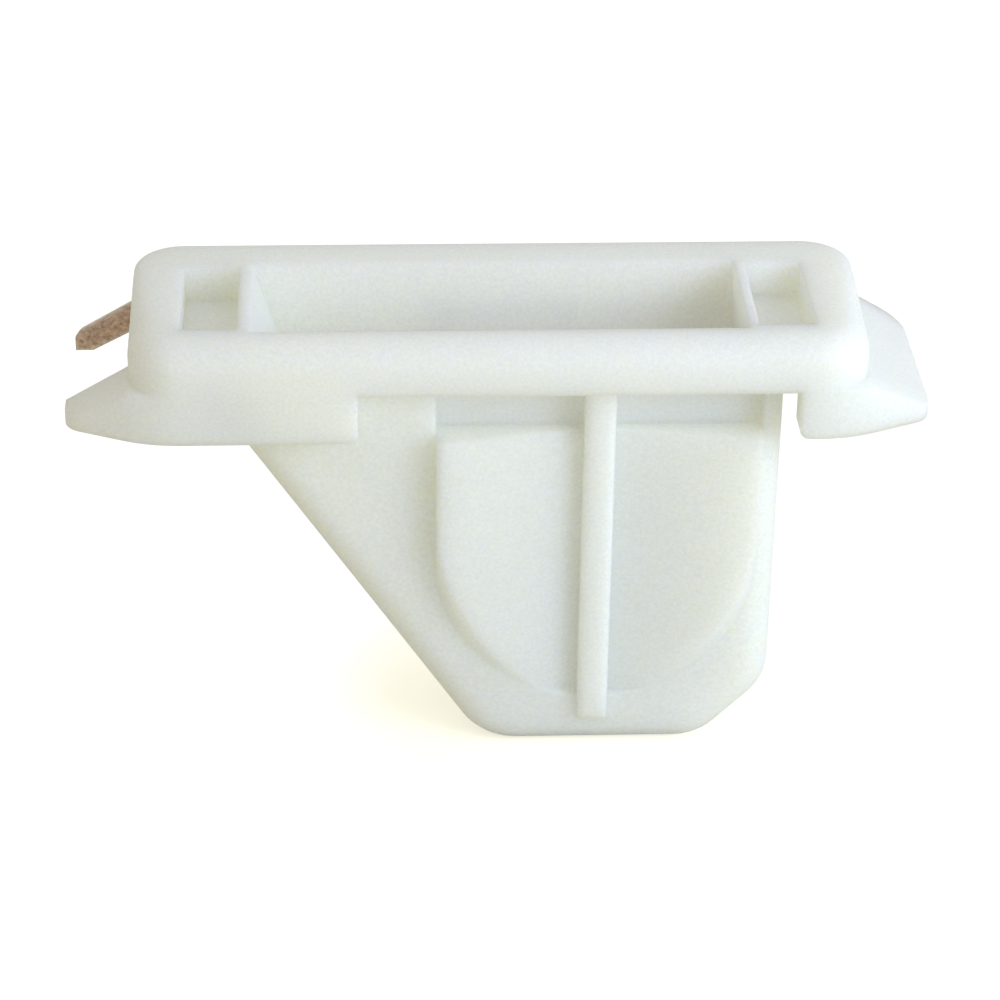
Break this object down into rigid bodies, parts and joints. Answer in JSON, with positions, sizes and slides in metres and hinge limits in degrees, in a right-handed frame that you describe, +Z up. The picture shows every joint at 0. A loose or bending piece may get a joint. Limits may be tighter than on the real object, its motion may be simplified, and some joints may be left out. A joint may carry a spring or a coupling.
{
  "type": "headlamp mounting grommet",
  "caption": "White nylon clip-in grommet for a headlamp mount: a rimmed head with a tongue socket on a sprung flange, above a wedge-shaped hollow leg with a rib and flared snap wings.",
  "frame": {"origin": "middle of the head's length and depth, in the plane of the panel that the skirts press on", "axes": "+X along the head towards the leg's upright heel, +Y across the head to the rear, +Z up out of the panel, so the leg hangs down through the panel's slot"},
  "size_m": [0.042, 0.0116, 0.0238],
  "materials": {
    "nylon": "natural white nylon, fine satin mould texture"
  },
  "bodies": {
    "root": {"grommet_body": "nylon"}
  },
  "joints": []
}
